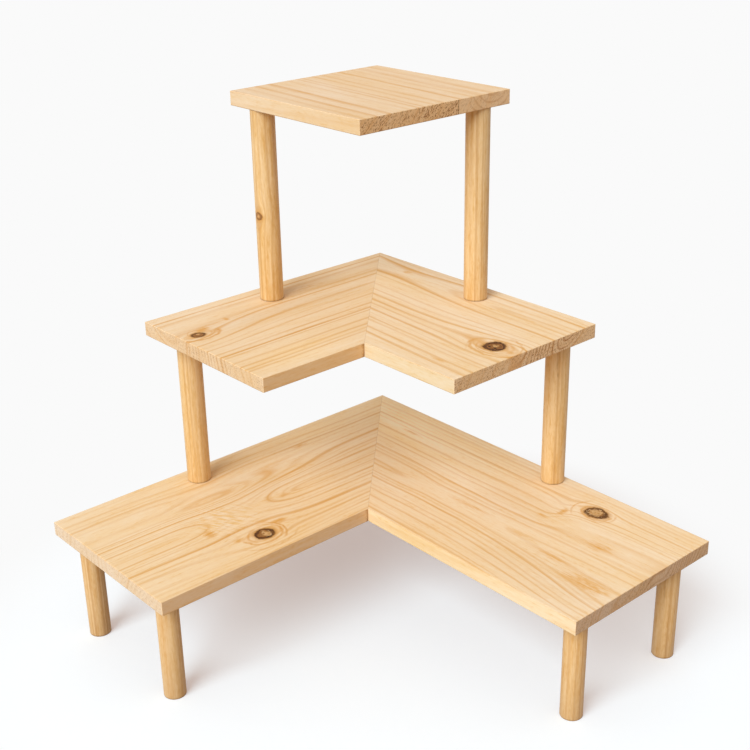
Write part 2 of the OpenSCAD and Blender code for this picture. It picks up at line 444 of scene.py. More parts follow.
# A span is where a fade starts and ends. A pair called "patchy" or "uneven" is the strength
# of a noise and what it is added to.
boardLook = {
    **dict.fromkeys(figureKinds, ()),
    "pale": tint(254, 232, 202),
    "deep": tint(245, 204, 141),
    "line": tint(224, 160, 64),
    "amber": tint(230, 168, 80),
    "swirl": tint(224, 158, 68),
    "seam": tint(170, 122, 76),
    "knotRim": tint(86, 44, 12),
    "knotDark": tint(18, 9, 4),
    "knotHeart": tint(238, 202, 150),
    "knotMark": tint(156, 102, 48),
    "knotFringe": tint(200, 140, 62),
    "middleTone": 0.45,
    "tones": {"Broad": 0.3, "Fine": 0.07, "Fibre": 0.11, "Mottle": 0.28},
    "warmSpan": (0.1, 1.3),
    "warmth": 0.42,
    "lineStrength": 0.95,
    "lineSpread": 1.3,
    "unevenAlong": (0.35, 0.9),
    "unevenAcross": (0.4, 1.0),
    "thinSpan": (0.35, 1.1),
    "thinLines": 0.22,
    "underThin": 0.6,
    "canals": 0.18,
    "rippleLean": 0.55,
    "rippleFeather": 0.3,
    "markSpan": (0.08, 0.9),
    "patchyMark": (0.45, 0.3, 0.8),  # mottle, fibre, what they are added to
    "streakSpan": (0.15, 0.9),
    "patchyStreak": (0.4, 0.9),
    "streakStrength": 0.7,
    "patchyGlow": (0.45, 0.4),
    "heart": 0.9,
    "heartStripes": 0.55,
    "flecks": 0.52,
    "dotSpan": (0.2, 0.7),
    "edgeLines": 0.55,
    "endLines": 0.5,
    "endSpecks": 0.4,
    "endRings": (0.12, 120, 400),  # strength, middle across, reach
    "endGrit": 0.45,
    "faceSpan": (0.8, 0.95),
    "arrisShadeSpans": ((0.03, 0.2), (0.995, 0.93)),
    "arrisShadeStrength": 0.6,
    "glueSpan": (1.6, 0.5),
    "glueStrength": 0.6,
    "seamSpan": (0.6, 0.1),
    "unevenSeam": (0.15, 0.3),
    "roughness": (-0.12, 0.6),  # change on a dark line, clear wood
    "surface": {"IOR": 1.45, "Specular IOR Level": 0.15},
    # these multiply the colour under them
    "endPore": (0.64, 0.46, 0.32),
    "endSpeck": (0.34, 0.21, 0.12),
    "arris": (0.80, 0.74, 0.66),
    # painted light: lifts spots that lie in the shade of the shelves above
    "sapwoodTint": (1.09, 1.13, 1.14),
    # painted shade: darkens spots where a shadow falls, such as a post's
    "heartwoodTint": (0.93, 0.91, 0.89),
}
cornerShadeShape = {"ragged": 1.6, "soft": 4.5, "across": (150.0, 200.0), "strength": 0.7}
endFigure = {
    "ringTurn": 0.75,  # radians in a millimetre
    "ringWaver": 0.8,
    "ringCrest": (0.35, 1.0),
    "unevenRings": (0.4, 0.8),
    "speckSlant": 0.7,
    "speckSpan": (-0.1, 0.75),
    "unevenSpecks": (0.4, 0.8),
    "solidReach": 0.6,  # share of the reach in which the rings keep their strength
    "poreRings": 0.35,
    "poreGrit": 0.45,
    "poreSpan": (0.0, 0.9),
}
figureNoises = {
    # stretch, seed, detail
    "ripple": ((2.6, 16, 30), 5.0, 0.0),
    "corner": ((2.2, 30, 3.0), 3.0),
    "endDrift": ((60, 22, 9), 14.0),
    "endSpecks": ((2.0, 1.2, 2.2), 9.0, 3.0),
    "endPatches": ((60, 24, 24), 4.0),
    "seam": ((30, 30, 30), 2.0),
}
boundless = 1000.0  # wider than any board


def yearLines(distance, years, spread):
    # each line is (distance from the pith, darkness, width): a slow rise, then a quicker fall
    total = 0.0
    for first in range(0, len(years), linesPerRamp):
        ramp = addNode("ShaderNodeValToRGB", {0: over(distance, ringSpan)})
        ramp.color_ramp.interpolation = "EASE"
        stops = ramp.color_ramp.elements
        stops[1].color = (0, 0, 0, 1)
        for place, darkness, width in years[first : first + linesPerRamp]:
            for shift, share in lineShape:
                level = share * darkness
                stops.new((place + shift * width * spread) / ringSpan).color = (level, level, level, 1)
        total = larger(ramp.outputs[0], total)
    return total


def useFigure(group, place, figure):
    # the figure's values follow the place, in the order of the group's inputs
    return addNode("ShaderNodeGroup", enumerate((place, *figure)), node_tree=group).outputs


def hump(place, spot):
    return useFigure(humpGroup, place, spot)["Lift"]


def humps(place, spots):
    total = 0.0
    for spot in spots:
        total = plus(hump(place, spot), total)
    return total


def multiply(colour, share, second):
    return blend(share, colour, (*second, 1.0), "MULTIPLY")


def facing(normal, axis):
    return fade(absolute(vectorCalc("DOT_PRODUCT", normal, axis)), *facingSpan)


def bendGrain(straight, wood):
    # knots and ripples push the grain aside
    along, across, up = splitPlace(straight)
    place = straight
    knots = []
    for knot in wood["knots"]:
        knots.append(useFigure(knotGroup, place, knot))
        place = knots[-1]["Place"]
    feather = 0.0
    for spot in wood["ripples"]:
        leaning = joinPlace(scaled(across, wood["rippleLean"], along), across, up)
        shift = times(noise(leaning, *figureNoises["ripple"]), hump(straight, spot))
        feather = scaled(shift, wood["rippleFeather"], feather)
        place = vectorCalc("ADD", place, joinPlace(0.0, shift, 0.0))
    return place, knots, feather


def darkLines(straight, grain, wood):
    lines = yearLines(grain["Distance"], wood["years"], wood["lineSpread"])
    lines = times(lines, scaled(grain["Drift"], *wood["unevenAlong"]))
    lines = times(lines, scaled(grain["Fine"], *wood["unevenAcross"]))
    thin = times(fade(grain["Fine"], *wood["thinSpan"]), wood["thinLines"])
    lines = larger(lines, scaled(lines, wood["underThin"], thin))
    for spot in wood["quiet"]:
        lines = times(lines, less(1.0, hump(straight, spot)))
    return lines


def clearWood(straight, grain, feather, wood):
    # the wood between the dark lines
    tone = wood["middleTone"]
    for name, strength in wood["tones"].items():
        tone = scaled(grain[name], strength, tone)
    colour = blend(plus(tone, feather), wood["pale"], wood["deep"])
    warm = times(fade(grain["Mottle"], *wood["warmSpan"]), wood["warmth"])
    colour = blend(warm, colour, wood["amber"])
    # painted light and painted shade: spots lightened where the shelves above shade the boards, and darkened
    # where a shadow falls
    for kind in ("sapwood", "heartwood"):
        for spot in wood[kind]:
            colour = multiply(colour, hump(straight, spot), wood[kind + "Tint"])
    return colour


def addFigures(colour, straight, grain, knots, wood):
    mottled, fibrous, least = wood["patchyMark"]
    for spot in wood["marks"]:
        patchy = scaled(grain["Mottle"], mottled, scaled(grain["Fibre"], fibrous, least))
        mark = fade(times(hump(straight, spot), patchy), *wood["markSpan"])
        colour = blend(mark, colour, wood["amber"])
    for spot in wood["streaks"]:
        patchy = scaled(grain["Mottle"], *wood["patchyStreak"])
        streak = fade(times(hump(straight, spot), patchy), *wood["streakSpan"])
        colour = blend(times(streak, wood["streakStrength"]), colour, wood["knotMark"])
    for spot in wood["swirls"]:
        line = useFigure(swirlGroup, straight, spot)["Line"]
        colour = blend(line, colour, wood["swirl"])
    for knot in knots:
        warm = times(knot["Glow"], scaled(grain["Mottle"], *wood["patchyGlow"]))
        colour = blend(warm, colour, wood["amber"])
        colour = blend(knot["Fringe"], colour, wood["knotFringe"])
        branch = blend(knot["Stripe"], wood["knotRim"], wood["knotMark"])
        stripe = times(knot["Stripe"], wood["heartStripes"])
        heart = blend(stripe, wood["knotHeart"], wood["knotFringe"])
        branch = blend(times(knot["Heart"], wood["heart"]), branch, heart)
        branch = blend(times(knot["Fleck"], wood["flecks"]), branch, wood["knotDark"])
        colour = blend(knot["Core"], colour, branch)
    for spot in wood["dots"]:
        colour = blend(fade(hump(straight, spot), *wood["dotSpan"]), colour, wood["knotDark"])
    return colour


def longEdge(colour, clear, straight, wood):
    # the long edge's tint is partly wood tone, partly painted shade for how the edge is lit
    made = multiply(blend(wood["edgeLines"], clear, colour), 1.0, wood["edgeTint"])
    # painted shade: a ragged dark strip on the long edge in the inner corner, where shade falls
    if "cornerShade" in wood:
        along, across, _ = splitPlace(straight)
        ragged = scaled(noise(straight, *figureNoises["corner"]), cornerShadeShape["ragged"], along)
        shade = fade(ragged, wood["cornerShade"] + cornerShadeShape["soft"], wood["cornerShade"])
        shade = times(shade, fade(across, *cornerShadeShape["across"]))
        made = blend(times(shade, cornerShadeShape["strength"]), made, wood["knotMark"])
    return made


def sawnEnd(colour, straight, grain, wood):
    # a sawn end has year rings of its own, torn specks and open pores
    along, across, up = splitPlace(straight)
    section = joinPlace(0.0, across, up)
    plain = [(pale + deep) / 2 for pale, deep in zip(wood["pale"], wood["deep"])]
    # the end's tint is partly wood tone, partly painted light and shade for how the end is lit
    made = multiply(blend(wood["endLines"], plain, colour), 1.0, wood["endToneAndShade"])
    far = grain["Distance"]
    if "endPith" in wood:
        far = vectorCalc("LENGTH", vectorCalc("SUBTRACT", section, (0.0, *wood["endPith"])))
    drift = noise(section, *figureNoises["endDrift"])
    strength, middle, reach = wood["endRings"]
    wave = calc("SINE", scaled(drift, endFigure["ringWaver"], times(far, endFigure["ringTurn"])))
    near = fade(absolute(less(across, middle)), reach, endFigure["solidReach"] * reach)
    rings = times(fade(wave, *endFigure["ringCrest"]), scaled(drift, *endFigure["unevenRings"]))
    made = multiply(made, times(rings, times(near, strength)), wood["endPore"])
    slanting = joinPlace(along, scaled(up, endFigure["speckSlant"], across), up)
    specks = fade(noise(slanting, *figureNoises["endSpecks"]), *endFigure["speckSpan"])
    patches = scaled(noise(straight, *figureNoises["endPatches"]), *endFigure["unevenSpecks"])
    made = multiply(made, times(specks, times(patches, wood["endSpecks"])), wood["endSpeck"])
    grit = times(grain["Grit"], endFigure["poreGrit"])
    pores = fade(scaled(grain["Fine"], endFigure["poreRings"], grit), *endFigure["poreSpan"])
    return multiply(made, times(pores, wood["endGrit"]), wood["endPore"])


def makePine(name, wood):
    material, surface, straight, normal = startMaterial(name, wood["place"])
    along, across, _ = splitPlace(straight)
    place, knots, feather = bendGrain(straight, wood)
    lift = humps(straight, wood["humps"])
    # a hollow is a hump that runs across the whole board
    hollows = [(along, 0.0, length, boundless, height) for along, length, height in wood["hollows"]]
    deeper = humps(straight, hollows)
    values = dict(wood["grain"], Place=place, Lift=lift, Deeper=deeper)
    grain = addNode("ShaderNodeGroup", values, node_tree=grainGroup).outputs
    lines = darkLines(straight, grain, wood)
    clear = clearWood(straight, grain, feather, wood)
    colour = blend(times(lines, wood["lineStrength"]), clear, wood["line"])
    colour = blend(times(grain["Canal"], wood["canals"]), colour, wood["line"])
    colour = addFigures(colour, straight, grain, knots, wood)

    # faces, long edges and sawn ends each take their own tone, with painted light and shade for how each side
    # is lit
    level = absolute(splitPlace(normal)[2])
    if "faceTint" in wood:
        colour = multiply(colour, fade(level, *wood["faceSpan"]), wood["faceTint"])
    if "edgeAxis" in wood:
        atEdge = facing(normal, wood["edgeAxis"])
        colour = blend(atEdge, colour, longEdge(colour, clear, straight, wood))
    atEnd = facing(normal, wood["endAxis"])
    colour = blend(atEnd, colour, sawnEnd(colour, straight, grain, wood))
    # painted shade along the rounded arrises, which darkens the bright line the lamps leave there
    arris = times(*(fade(level, *span) for span in wood["arrisShadeSpans"]))
    colour = multiply(colour, times(arris, wood["arrisShadeStrength"]), wood["arris"])

    if "glued" in wood:
        # glued edges meet in a thin line that shows in the sawn ends
        joint = times(fade(absolute(less(across, wood["glued"])), *wood["glueSpan"]), atEnd)
        colour = blend(times(joint, wood["glueStrength"]), colour, wood["knotRim"])
    if "footHeight" in wood:
        # the sides darken towards the foot, but its sole stays clear
        nearFoot = times(fade(along, wood["footHeight"], 0.0), fade(level, *wood["soleSpan"]))
        colour = blend(times(nearFoot, wood["footShade"]), colour, wood["knotRim"])
    if "mitred" in wood:
        # the mitre shows as a fine dark line, here and there
        broken = scaled(noise(straight, *figureNoises["seam"]), *wood["unevenSeam"])
        seam = times(fade(absolute(less(along, across)), *wood["seamSpan"]), broken)
        colour = blend(seam, colour, wood["seam"])

    bump = addNode("ShaderNodeBump", dict(fibreBump, Height=grain["Fibre"]))
    plug(surface["Base Color"], colour)
    plug(surface["Roughness"], scaled(lines, *wood["roughness"]))
    plug(surface["Normal"], bump.outputs[0])
    for socket, value in wood["surface"].items():
        plug(surface[socket], value)
    return material


cornerX = cadBox[0].x
cornerY = cadBox[1].y


def armPlace(side, node):
    # right arms run along +X from the corner, left arms along -Y
    down = -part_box(node)[1].z / mm
    if side == "right":
        return {"Location": (-cornerX / mm, cornerY / mm, down), "Scale": (1 / mm, -1 / mm, 1 / mm)}
    turn = (0, 0, math.pi / 2)
    return {"Location": (cornerY / mm, -cornerX / mm, down), "Rotation": turn, "Scale": toMillimetres}


sideAxes = {"right": ((1, 0, 0), (0, 1, 0)), "left": ((0, 1, 0), (1, 0, 0))}  # sawn ends, long edges

# Places are millimetres along and across, as read off the boards. A year is (distance from the pith,
# darkness, width) and a hollow is (along, length, height). A knot, a swirl or any other spot gives
# the inputs of its node group, from Along on. The tone and shade tints are of faces, sawn ends and long
# edges: they hold the wood's tone together with painted light and shade for how each side is lit.

boards = {}
boards["bottom_left_board"] = {
    "side": "left",
    "lineStrength": 0.8,
    "tints": ((0.934, 0.946, 0.917), (0.886, 0.925, 1.024), (0.88, 0.793, 0.72)),
    "mitred": True,
    "cornerShade": 235,
    "grain": {"Seed": 1, "Pith across": 137, "Pith depth": 4, "Slant": -0.4, "Far side": 1.2},
    "years": (
        (8, 0.5, 3), (12.5, 0.3, 2), (24, 0.7, 5), (33, 0.3, 3), (40, 0.5, 4), (50, 0.2, 3), (59, 0.95, 7),
        (72, 0.4, 4), (80, 0.6, 4.5), (88, 0.35, 3.5), (96, 0.75, 4.5), (103, 0.3, 3), (113, 0.4, 5),
        (128, 0.2, 4),
    ),
    "hollows": ((330, 42, 24), (385, 40, 20)),
    "humps": ((560, 88, 345, 21, 40, 3), (610, 178, 220, 30, 20, 2), (375, 214, 60, 20, -9)),
    "quiet": (
        (110, 57, 150, 5, 0.9, 4), (430, 58, 170, 5, 0.85, 4), (345, 140, 28, 14, 0.85, 2),
        (480, 135, 100, 9, 0.7, 2), (350, 217, 110, 5, 0.6, 4), (300, 65, 62, 4, 0.6, 4),
        (480, 208, 80, 20, 0.65, 3),
    ),
    "ripples": ((376, 136, 34, 30, 2.4),),
    "sapwood": ((90, 25, 110, 45, 0.9, 2),),
    "heartwood": ((275, 75, 65, 48, 1),),
    "marks": (
        (410, 153, 8, 10, 0.8), (397, 170, 9, 5, 0.6), (190, 45, 14, 5, 0.6), (288, 138, 12, 5, 0.6),
        (332, 184, 11, 7, 0.9), (345, 171, 12, 5, 0.6), (392, 188, 10, 5, 0.7), (384, 199, 4, 7, 0.5),
    ),
    "knots": ((362, 195.5, 11.5, 1.12, 2.2, 0.95, -2, 1.5, 6.6, 1.9, 1),),
    "swirls": (
        (365, 196, 25, 19, 1.6, -0.2, 2.2, 0.8), (362, 196, 27, 24, 3.1, 0.55, 2.4, 0.9),
        (362, 195, 22, 20, -2.7, 0.6, 2, 0.6), (364, 196, 19, 16, -0.4, 0.5, 2.4, 0.7),
        (362, 198, 42, 28, 1.5, 0.5, 2, 0.5),
    ),
    "dots": ((363, 204, 1.8, 1.4, 0.9),),
}
boards["bottom_right_board"] = {
    "side": "right",
    "lineStrength": 0.72,
    "endLines": 0.7,
    "endSpecks": 0.7,
    "endRings": (0.6, 60, 75),
    "tints": ((0.95, 0.973, 0.98), (0.744, 0.681, 0.665), (0.967, 0.976, 0.919)),
    "mitred": True,
    "edgeLines": 0.3,
    "grain": {"Seed": 2, "Pith across": 146, "Pith depth": 3, "Slant": 0.6, "Far side": 1.25},
    "years": (
        (6, 0.6, 4), (23, 0.65, 4), (29, 0.4, 4), (36, 0.8, 4.5), (44, 0.2, 3), (54, 0.55, 3.5),
        (63, 0.65, 4), (80, 0.65, 4.5), (98, 0.4, 3), (106, 0.75, 4.5), (114, 0.25, 3), (121, 0.3, 3),
        (129, 0.45, 5), (136, 0.25, 3), (143, 0.3, 3),
    ),
    "hollows": ((250, 45, 10), (330, 60, 10)),
    "humps": ((520, 72, 118, 28, -33, 6), (580, 205, 130, 45, -36), (400, 60, 30, 14, 6)),
    "quiet": ((490, 92, 62, 14, 0.9, 4), (436, 92, 30, 15, 0.7)),
    "sapwood": ((120, 25, 190, 62, 1, 2), (85, 40, 110, 60, 0.75)),
    "heartwood": ((340, 95, 65, 40, 0.8), (470, 190, 90, 36, 0.6, 2)),
    "marks": (
        (484, 102, 22, 12, 0.62), (520, 172, 42, 16, 0.72), (460, 156, 40, 10, 0.5), (315, 140, 40, 6, 0.55),
        (120, 53, 22, 4, 0.5), (401, 70, 5, 11, 0.85), (389, 95, 8, 8, 0.5),
    ),
    "knots": ((431, 43.5, 12, 1.25, 1.7, 0.9, -0.9, 0.5, 9.2, 1.9, 2),),
    "swirls": (
        (430, 44, 12.5, 10.5, 3.1, -0.9, 1.8, 0.9), (432, 44, 19.5, 15.5, 1.9, -0.5, 2.4, 0.7),
        (432, 44, 31, 30, 3.1, 0.75, 2.2, 0.7), (433, 44, 23, 19, 0.4, 0.5, 1.8, 0.5),
    ),
}
boards["middle_left_board"] = {
    "side": "left",
    "endRings": (0.45, 135, 45),
    "endSpecks": 0.6,
    "tints": ((0.908, 0.904, 0.882), (0.851, 0.827, 0.801), (0.904, 0.774, 0.609)),
    "mitred": True,
    "cornerShade": 235,
    "grain": {"Seed": 3, "Pith across": 36, "Pith tilt": 0.02, "Pith depth": 14, "Slant": 0.5},
    "years": (
        (21, 0.4, 8), (27.5, 0.75, 5.5), (50, 0.6, 5), (66, 0.25, 3), (79, 0.45, 4.5), (102, 0.5, 4.5),
        (113, 0.85, 5), (119, 0.5, 4), (138, 0.5, 4), (151, 0.6, 4.5), (160, 0.4, 4), (167, 0.5, 4.5),
    ),
    "humps": ((385, 98, 95, 36, -22),),
    "sapwood": ((300, 205, 60, 30, 0.7),),
    "heartwood": ((215, 82, 140, 24, 0.9, 2),),
    "marks": (
        (304, 61, 4, 6, 0.9), (160, 40, 40, 9, 0.45), (344, 69, 13, 7, 0.9), (322, 66, 20, 5, 0.4),
        (353, 90, 8, 4, 0.5),
    ),
    "knots": ((358, 81, 7.4, 1.2, 2.2, 0.85, -1.5, -2, 2.6, 2.6, 3),),
    "swirls": (
        (357, 80, 28, 17.5, 1.55, -0.1, 2.8, 0.9), (357, 80, 17, 12, 2.3, 0.5, 2, 0.6),
        (357, 80, 12, 14, -1.1, 0.5, 2, 0.5),
    ),
}
boards["middle_right_board"] = {
    "side": "right",
    "endSpecks": 1.15,
    "endRings": (1, 84, 62),
    "tints": ((0.937, 0.965, 0.992), (0.907, 0.842, 0.771), (0.873, 0.914, 0.906)),
    "mitred": True,
    "grain": {"Seed": 4, "Pith across": 33, "Pith tilt": 0.045, "Pith depth": 4, "Slant": 0.75},
    "years": (
        (7, 0.4, 3.5), (16, 0.35, 4), (29, 0.75, 5), (37, 0.3, 3), (59, 0.4, 4), (72, 0.35, 4),
        (83, 0.65, 4.5), (95, 0.75, 5), (104, 0.4, 4), (115, 0.7, 5), (124, 0.25, 3), (133, 0.5, 4),
        (140, 0.4, 4), (155, 0.6, 4.5), (167, 0.7, 5),
    ),
    "hollows": ((90, 130, 20),),
    "humps": ((330, 116, 90, 28, 9), (372, 128, 30, 30, 14)),
    "marks": ((88, 30, 9, 6, 0.7), (90, 20, 20, 9, 0.4), (330, 208, 14, 5, 0.6)),
    "knots": ((345.5, 136, 13.5, 1, 1.9, 1, 0, -0.8, 3.3, 2, 4),),
    "swirls": (
        (348, 138, 34, 23, 1.5, -0.2, 2.6, 0.8), (346, 137, 22, 19, 1.7, 0.2, 1.8, 0.6),
        (345, 137, 25, 18.5, -0.9, 0.35, 3.2, 0.6), (344, 138, 37, 31, -0.6, 0.5, 2.6, 0.6),
        (346, 138, 33, 30, 2.7, 0.55, 2.2, 0.25),
    ),
    "dots": ((341, 140, 2.2, 1.6, 0.9), (349.5, 139.5, 2.4, 1.5, 0.9)),
}
boards["top_front_stave"] = {
    "side": "right",
    "glued": 85,
    "endSpecks": 1.4,
    "endRings": (0.15, 120, 400),
    "tints": ((0.861, 0.852, 0.859), (0.931, 0.822, 0.693), (0.846, 0.821, 0.768)),
    "grain": {"Seed": 5, "Pith across": 250, "Pith tilt": 0.06, "Pith depth": 20, "Slant": 0.5},
    "years": (
        (26, 0.3, 5), (42, 0.3, 6), (57, 0.55, 7), (76, 0.6, 9), (104, 0.25, 5), (118, 0.45, 6),
        (126, 0.5, 5), (142, 0.35, 6), (156, 0.4, 6),
    ),
    "marks": ((70, 182, 26, 7, 0.45),),
}
boards["top_back_stave"] = {
    "side": "right",
    "endRings": (0.45, 35, 40),
    "endPith": (30, 16),
    "tints": ((0.861, 0.852, 0.859), (0.952, 0.879, 0.806), (0.89, 0.843, 0.801)),
    "grain": {"Seed": 6, "Pith across": -40, "Pith tilt": 0.07, "Pith depth": 24, "Slant": 0.9},
    "years": ((62, 0.35, 9), (78, 0.35, 12), (92, 0.3, 6), (110, 0.6, 7), (124, 0.4, 4)),
}


def dress(node, material):
    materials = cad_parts[node].data.materials
    materials.clear()
    materials.append(material)


def finishBoards():
    for node, board in boards.items():
        wood = dict(boardLook, **board, place=armPlace(board["side"], node))
        wood["faceTint"], wood["endToneAndShade"], wood["edgeTint"] = board["tints"]
        wood["endAxis"], wood["edgeAxis"] = sideAxes[board["side"]]
        dress(node, makePine(node, wood))


finishBoards()
print("boards finished")

# Posts and legs

postLook = dict(
    boardLook,
    pale=tint(239, 206, 155),
    deep=tint(222, 176, 106),
    line=tint(186, 131, 63),
    amber=tint(209, 155, 81),
    tones={"Broad": 0.3, "Fine": 0.28, "Fibre": 0.36, "Mottle": 0.55},
    warmth=0.55,
    lineStrength=0.5,
    lineSpread=1.0,
    thinLines=0.0,
    endAxis=(0, 0, 1),
    endToneAndShade=(0.86, 0.80, 0.74),
    footHeight=3.0,
    footShade=0.5,
    soleSpan=(0.95, 0.75),
    surface={
        "IOR": 1.45,
        "Specular IOR Level": 0.5,
        "Sheen Weight": 0.15,
        "Sheen Roughness": 0.4,
        "Sheen Tint": (1.0, 0.96, 0.90, 1.0),
    },
)
legLook = dict(
    postLook,
    pale=tint(236, 199, 146),
    deep=tint(221, 171, 102),
    line=tint(188, 129, 60),
    amber=tint(209, 151, 76),
)

# turn spins the grain about the rod, in radians. Knots and streaks are as on the boards.
rods = {
    "upper_left_post": {"turn": -1.64, "knots": ((109, 0, 5.8, 0.86, 2.2, 0.68, 0, 0, 2, 2.2, 6),)},
    "upper_right_post": {"turn": 1.3},
    "lower_left_post": {"turn": 2.1},
    "lower_right_post": {"turn": 0.9, "streaks": ((174, 0, 22, 1.5, 0.62, 3), (150, 1.6, 5, 1.4, 0.7))},
    "left_rear_leg": {"turn": 2.8},
    "left_front_leg": {"turn": 0.2},
    "right_front_leg": {"turn": 1.7},
    "right_rear_leg": {"turn": 1.0, "streaks": ((122, 3, 9, 1.3, 0.6, 3), (102, -3, 30, 1.3, 0.45, 3))},
    "corner_leg": {"turn": 1.1},
}
firstRodSeed = 21
rodGrain = {"Pith across": 22.0, "Pith depth": 20.0, "Waver": 0.8}
rodRings = {
    "first": 8.0, "count": 9, "apart": 4.8, "uneven": 1.9, "beat": 2.1, "width": 3.0,
    "dark": 0.65, "change": 0.35, "slowBeat": 1.7,
}


def rodEnd(node, end):
    # the middle of a rod's foot, end 0, or of its top, end 1
    low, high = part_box(node)
    return ((low.x + high.x) / 2, (low.y + high.y) / 2, (low.z, high.z)[end])


def rodPlace(node, turn):
    # the grain runs up the rod
    spun = Matrix.Rotation(turn, 3, "X") @ Matrix.Rotation(math.pi / 2, 3, "Y")
    foot = spun @ Vector(rodEnd(node, 0))
    return {"Location": -foot / mm, "Rotation": spun.to_euler(), "Scale": toMillimetres}


def rodYears(seed):
    # rings of uneven width out from the pith, which lies outside the rod
    years = []
    place = rodRings["first"]
    for ring in range(rodRings["count"]):
        place += rodRings["apart"] + rodRings["uneven"] * math.sin(rodRings["beat"] * ring + seed)
        darkness = rodRings["dark"] + rodRings["change"] * math.sin(rodRings["slowBeat"] * ring + 2 * seed)
        years.append((place, darkness, rodRings["width"]))
    return years


# Shapes made by Geometry Nodes

quarterRound = ((0.0, 0.0), (0.5, 0.134), (0.866, 0.5), (1.0, 1.0))  # shares of the edge, out and up
weldDistance = 0.002 * mm
steepestFlat = 0.97  # a face whose normal rises more than this is an end, and isn't shaded smooth
crestSlope = 3.4  # how fast a thread falls from its crest, against its pitch


def makeSheet(rows, sides):
    # a sheet of rows by sides + 1 points, with each point's row and its share of a turn
    columns = plus(sides, 1.0)
    sheet = addNode("GeometryNodeMeshGrid", {"Vertices X": rows, "Vertices Y": columns})
    index = plus(addNode("GeometryNodeInputIndex", tree=sides.id_data).outputs[0], 0.5)
    row = calc("FLOOR", over(index, columns))
    column = calc("FLOOR", less(index, times(row, columns)))
    return sheet.outputs["Mesh"], row, over(column, sides)


def rollSheet(sheet, radius, share, height):
    # rolls the sheet into a tube whose faces point outwards, then welds its seam and its ends
    angle = times(share, -2 * math.pi)
    place = joinPlace(times(calc("COSINE", angle), radius), times(calc("SINE", angle), radius), height)
    rolled = addNode("GeometryNodeSetPosition", {"Geometry": sheet, "Position": place}).outputs[0]
    return addNode("GeometryNodeMergeByDistance", {0: rolled, "Distance": weldDistance}).outputs[0]


def placePieces(given, result, shape, smooth=True, turn=(0, 0, 0)):
    shaded = addNode("GeometryNodeSetShadeSmooth", {0: shape, "Shade Smooth": smooth}).outputs[0]
    places = {"Points": given["Places"], "Instance": shaded, "Rotation": turn}
    placed = addNode("GeometryNodeInstanceOnPoints", places).outputs[0]
    real = addNode("GeometryNodeRealizeInstances", {0: placed}).outputs[0]
    dressed = addNode("GeometryNodeSetMaterial", {0: real, "Material": given["Material"]})
    plug(result["Pieces"], dressed.outputs[0])


def makeTurnedBar():
    # a round bar with eased ends, a blind bore in each end and flutes down its side where wanted
    tree, given, result = newShape(
        "turnedBar",
        {
            "Places": "Geometry", "Length": 0.2, "Radius": 0.015, "Edge": 0.0008,
            "Foot bore": 0.0018, "Foot bore depth": 0.0, "Top bore": 0.003, "Top bore depth": 0.0,
            "Sides": 72, "Flutes": 0, "Flute depth": 0.0, "Turn": (0, 0, 0), "Material": "Material",
        },
        ("Pieces",),
    )
    edge, length = given["Edge"], given["Length"]
    footBore, footDepth = given["Foot bore"], given["Foot bore depth"]
    topBore = given["Top bore"]
    topFloor = less(length, given["Top bore depth"])
    inner = less(given["Radius"], edge)
    foot = [(scaled(edge, out, inner), times(edge, up)) for out, up in quarterRound]
    top = [(scaled(edge, out, inner), scaled(edge, -up, length)) for out, up in reversed(quarterRound)]
    outline = [(0.0, footDepth), (footBore, footDepth), (footBore, 0.0), *foot, *top]
    outline += [(topBore, length), (topBore, topFloor), (0.0, topFloor)]

    sheet, row, share = makeSheet(len(outline), given["Sides"])
    picked = []
    for part in (0, 1):
        pick = addNode("GeometryNodeIndexSwitch", tree=tree, data_type="FLOAT")
        while len(pick.index_switch_items) < len(outline):
            pick.index_switch_items.new()
        plug(pick.inputs[0], row)
        for socket, values in zip(pick.inputs[1:], outline):
            plug(socket, values[part])
        picked.append(pick.outputs[0])
    wave = calc("COSINE", times(times(share, given["Flutes"]), 2 * math.pi))
    groove = times(scaled(wave, -0.5, 0.5), given["Flute depth"])
    radius = less(picked[0], smaller(groove, picked[0]))
    bar = rollSheet(sheet, radius, share, picked[1])
    rise = splitPlace(addNode("GeometryNodeInputNormal", tree=tree).outputs[0])[2]
    sideFace = calc("LESS_THAN", absolute(rise), steepestFlat)
    placePieces(given, result, bar, sideFace, given["Turn"])
    return tree


def makeScrewThread():
    # a threaded shank, pointed at both ends
    tree, given, result = newShape(
        "screwThread",
        {
            "Places": "Geometry", "Length": 0.04, "Core": 0.0023, "Outer": 0.003, "Pitch": 0.0026,
            "Foot point": 0.004, "Top point": 0.004, "Rows per turn": 10, "Sides": 20,
            "Material": "Material",
        },
        ("Pieces",),
    )
    length, pitch, core = given["Length"], given["Pitch"], given["Core"]
    steps = calc("CEIL", times(over(length, pitch), given["Rows per turn"]))
    sheet, row, share = makeSheet(plus(steps, 1.0), given["Sides"])
    height = times(over(row, steps), length)
    phase = calc("FRACT", plus(over(height, pitch), share))
    crest = larger(scaled(absolute(less(phase, 0.5)), -crestSlope, 1.0), 0.0)
    full = scaled(crest, less(given["Outer"], core), core)
    fromTop = over(less(length, height), given["Top point"])
    taper = smaller(over(height, given["Foot point"]), fromTop)
    thread = rollSheet(sheet, times(full, smaller(taper, 1.0)), share, height)
    placePieces(given, result, thread)
    return tree


turnedBar = makeTurnedBar()
screwThread = makeScrewThread()


def inMetres(sizes):
    return {label: value * mm for label, value in sizes.items()}


